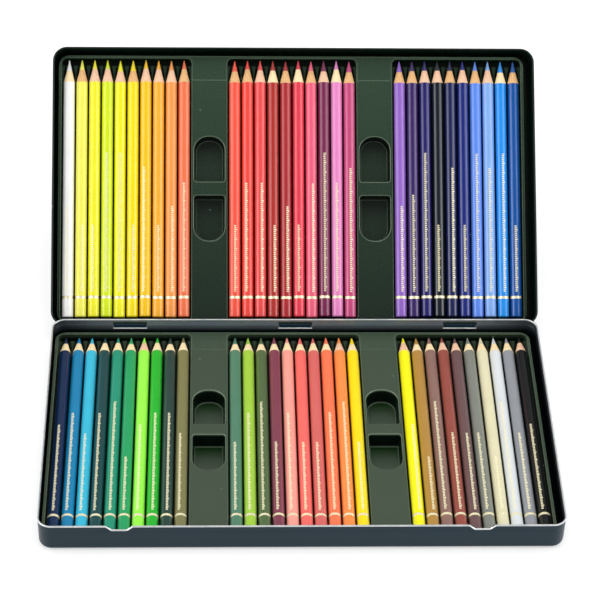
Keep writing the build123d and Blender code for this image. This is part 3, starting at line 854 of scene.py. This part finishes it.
def cut_cedar(name, dark, light):
    material, tree = new_material(name)
    uv = add(tree, "ShaderNodeTexCoord").outputs["UV"]
    stretch = add(tree, "ShaderNodeMapping", {"Vector": uv, "Scale": (1, 0.12, 1)})
    grain = add(tree, "ShaderNodeTexNoise", {"Vector": stretch, "Scale": per_mm(0.7), "Detail": 3.0})
    broad = add(tree, "ShaderNodeTexNoise", {"Vector": uv, "Scale": per_mm(4), "Detail": 1.0})
    fine_share = add(tree, "ShaderNodeMath", {0: grain, 1: 0.6}, operation="MULTIPLY")
    broad_share = add(tree, "ShaderNodeMath", {0: broad, 1: 0.4}, operation="MULTIPLY")
    both = add(tree, "ShaderNodeMath", {0: fine_share, 1: broad_share}, operation="ADD")
    figure = add(tree, "ShaderNodeMapRange", {0: both, 1: 0.35, 2: 0.65})
    colour = add(tree, "ShaderNodeMix", {0: figure, 6: dark, 7: light}, data_type="RGBA")
    bump = add(tree, "ShaderNodeBump", {"Height": grain, "Strength": 0.4, "Distance": 0.05 * MM})
    shader = add(tree, "ShaderNodeBsdfPrincipled", {
        "Base Color": colour, "Roughness": 0.62, "Normal": bump, "IOR": 1.45,
    })
    add(tree, "ShaderNodeOutputMaterial", {"Surface": shader})
    return material


def wax_lead(name, hex_colour):
    material, tree = new_material(name)
    uv = add(tree, "ShaderNodeTexCoord").outputs["UV"]
    grain = add(tree, "ShaderNodeTexNoise", {"Vector": uv, "Scale": per_mm(0.5), "Detail": 3.0})
    bloom = add(tree, "ShaderNodeMix", {0: 0.06, 6: hex_colour, 7: "8c8c84"}, data_type="RGBA")
    shade = add(tree, "ShaderNodeMix", {0: 0.22, 6: bloom, 7: "000000"}, data_type="RGBA")
    colour = add(tree, "ShaderNodeMix", {0: grain, 6: bloom, 7: shade}, data_type="RGBA")
    bump = add(tree, "ShaderNodeBump", {"Height": grain, "Strength": 0.3, "Distance": 0.04 * MM})
    shader = add(tree, "ShaderNodeBsdfPrincipled", {
        "Base Color": colour, "Roughness": 0.5, "Normal": bump, "IOR": 1.45,
    })
    add(tree, "ShaderNodeOutputMaterial", {"Surface": shader})
    return material


gold = foil("gold_foil_painted_shine")
tan = cut_cedar("cedar_tan", "d29a62", "edc48c")
rose = cut_cedar("cedar_rose", "e0ac88", "f5d2b2")
cream = cut_cedar("cedar_cream", "f0d29a", "fbeac2")
CEDARS = {"lid": (tan, rose, tan, cream), "base": (cream, cream, rose, cream)}
print("gold:", gold.name, "cedar:", tan.name, rose.name, cream.name)

# %% [markdown]
# ## Lacquer
# The lacquer is nitrocellulose, sprayed in several coats: a full colour with a clear gloss over
# it. Along the barrel runs a plain scale in gold foil, a row of short strokes with a longer one at
# every fifth. It is worked out from the UV map, whose v runs along the barrel in metres and whose
# u runs round it.
# %% Lacquer with its gold scale
STROKE_PITCH, STROKE_WIDTH, SCALE_START = 1.3, 0.85, 17.0   # these and the next line in millimetres
STROKE_LEFT, STROKE_RIGHT, LONG_STROKE = -0.8, 0.6, 0.5


def barrel_lacquer(name, hex_colour, scale_length, turn):
    """turn is where round the barrel the scale lies, in millimetres along the surface."""
    material, tree = new_material(name)
    uv = add(tree, "ShaderNodeTexCoord").outputs["UV"]
    parts = add(tree, "ShaderNodeSeparateXYZ", {0: uv})
    around = add(tree, "ShaderNodeMath", {0: parts.outputs[0], 1: 1 / MM}, operation="MULTIPLY")
    along = add(tree, "ShaderNodeMath", {0: parts.outputs[1], 1: 1 / MM}, operation="MULTIPLY")
    across = add(tree, "ShaderNodeMath", {0: around, 1: turn}, operation="SUBTRACT")

    def stroke_every(pitch):
        within = add(tree, "ShaderNodeMath", {0: along, 1: pitch}, operation="MODULO")
        return add(tree, "ShaderNodeMath", {0: within, 1: STROKE_WIDTH}, operation="LESS_THAN")

    fifth = stroke_every(5 * STROKE_PITCH)
    longer = add(tree, "ShaderNodeMath", {0: fifth, 1: LONG_STROKE}, operation="MULTIPLY")
    reach = add(tree, "ShaderNodeMath", {0: STROKE_RIGHT, 1: longer}, operation="ADD")
    stamp = stroke_every(STROKE_PITCH)
    for limit in (
        add(tree, "ShaderNodeMath", {0: across, 1: STROKE_LEFT}, operation="GREATER_THAN"),
        add(tree, "ShaderNodeMath", {0: across, 1: reach}, operation="LESS_THAN"),
        add(tree, "ShaderNodeMath", {0: along, 1: SCALE_START}, operation="GREATER_THAN"),
        add(tree, "ShaderNodeMath", {0: along, 1: SCALE_START + scale_length}, operation="LESS_THAN"),
    ):
        stamp = add(tree, "ShaderNodeMath", {0: stamp, 1: limit}, operation="MULTIPLY")
    cloud = add(tree, "ShaderNodeTexNoise", {"Vector": uv, "Scale": per_mm(12), "Detail": 2.0})
    shade = darker(hex_colour, 0.10)
    paint = add(tree, "ShaderNodeMix", {0: cloud, 6: hex_colour, 7: shade}, data_type="RGBA")
    colour = add(tree, "ShaderNodeMix", {0: stamp, 6: paint, 7: "f8f0c6"}, data_type="RGBA")
    metal = add(tree, "ShaderNodeMath", {0: stamp, 1: 0.2}, operation="MULTIPLY")
    roughness = add(tree, "ShaderNodeMapRange", {0: cloud, 1: 0.3, 2: 0.7, 3: 0.30, 4: 0.40})
    shader = add(tree, "ShaderNodeBsdfPrincipled", {
        "Base Color": colour, "Roughness": roughness, "Metallic": metal, "Specular IOR Level": 0.1,
        "Coat Weight": 1.0, "Coat Roughness": 0.13,
    })
    add(tree, "ShaderNodeOutputMaterial", {"Surface": shader})
    return material


print("the gold scale starts %.0f mm from the blunt end" % SCALE_START)

# %% [markdown]
# ## Sixty pencils
# Each half of the tin holds three rows of ten, and each row three families of neighbouring
# colours. A family is one body, so that it can be lifted. The colours are those of an artist's
# full set, from white through the yellows, reds and blues to the greens, earths and greys.
# %% The colours
FAMILIES = {
    "lid_left_pale_yellow": ("f7f7f4", "f6f25c", "f5f023"),
    "lid_left_yellow": ("d9ec16", "f6f013", "fbe200", "fbc70f"),
    "lid_left_orange": ("fbb22d", "f69c48", "f37648"),
    "lid_middle_scarlet": ("f85741", "f3483d", "ed4d4d"),
    "lid_middle_crimson": ("b43029", "b02a30", "e63c50", "ee5f7e"),
    "lid_middle_pink": ("7c2451", "ea88c6", "c8487d"),
    "lid_right_violet": ("9465c8", "3a2266", "241e6a"),
    "lid_right_indigo": ("111a26", "182056", "15267c", "5c8cee"),
    "lid_right_sky_blue": ("84b0f0", "1a92ee", "0552a2"),
    "base_left_marine_blue": ("04274e", "0a80b0", "34bbda"),
    "base_left_teal_green": ("114648", "1c9474", "20a060", "9bfb4b"),
    "base_left_leaf_green": ("1fb42a", "24423a", "7e7c4d"),
    "base_middle_olive_green": ("508268", "a2cf3e", "526a40"),
    "base_middle_coral": ("823d4f", "f9a293", "f56d65", "da6863"),
    "base_middle_amber": ("fa7b50", "f79146", "fde200"),
    "base_right_ochre": ("faf600", "b4883c", "8e6c62"),
    "base_right_brown": ("984c40", "6c5050", "80847b", "e4deb8"),
    "base_right_grey": ("dee3e5", "92959b", "0c0e0e"),
}
ROWS = {"left": -ROW_SPACING, "middle": 0.0, "right": ROW_SPACING}
TIP_GAP = {"base": 4.7 * MM, "lid": 3.0 * MM}
TRAY_PLACE = {"base": BASE_TRAY_PLACE, "lid": LID_TRAY_PLACE}
MIDDLE_OF_TEN = 4.5   # pencils are counted from 0
SCALE_LENGTHS = (45, 58, 66, 74, 84, 94)   # millimetres
TOP_OF_BARREL = -math.radians(90) * RADIUS / MM
print(sum(len(shades) for shades in FAMILIES.values()), "colours")

# %% [markdown]
# ## Into the trays
# Each pencil is a copy of one of the three above, laid down along its trough with its tip towards
# the back. Small differences make the set real: how far a pencil is pushed along, how thick its
# lead is, where round the barrel its scale lies and how long that is, and which cedar it is cut
# from. They are drawn from dice with a fixed start, so that they are the same each time.
# %% Put the pencils in the trays
import random

dice = random.Random(60)
filled = {}
for family, shades in FAMILIES.items():
    half, row = family.split("_")[:2]
    first = filled.get((half, row), 0)
    filled[(half, row)] = first + len(shades)
    for step, shade in enumerate(shades):
        place_in_row = first + step
        x = ROWS[row] + (place_in_row - MIDDLE_OF_TEN) * PITCH
        slip = dice.uniform(-0.3, 0.3) * MM
        y = TRAY_LENGTH - TIP_GAP[half] - LENGTH + slip
        master = masters[dice.randrange(3)]
        name = f"pencil_{half}_{row}_{place_in_row + 1:02d}"
        pencil = master.copy()
        pencil.data = master.data.copy()
        pencil.name = pencil.data.name = name
        bpy.context.scene.collection.objects.link(pencil)
        scale_turn = TOP_OF_BARREL + dice.uniform(-1.0, 1.0)
        finishes = [
            barrel_lacquer("lacquer_" + name, shade, dice.choice(SCALE_LENGTHS), scale_turn),
            gold, dice.choice(CEDARS[half]), wax_lead("lead_" + name, shade),
        ]
        for finish in finishes:
            pencil.data.materials.append(finish)
        lie = Matrix.Translation((x, y, AXIS_HEIGHT)) @ Matrix.Rotation(math.radians(-90), 4, "X")
        pencil.data.transform(TRAY_PLACE[half] @ lie)
        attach(pencil, family)
        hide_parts(family + "_casings", family + "_leads")
for master in masters:
    bpy.data.objects.remove(master)
print("pencils in each row:", filled)
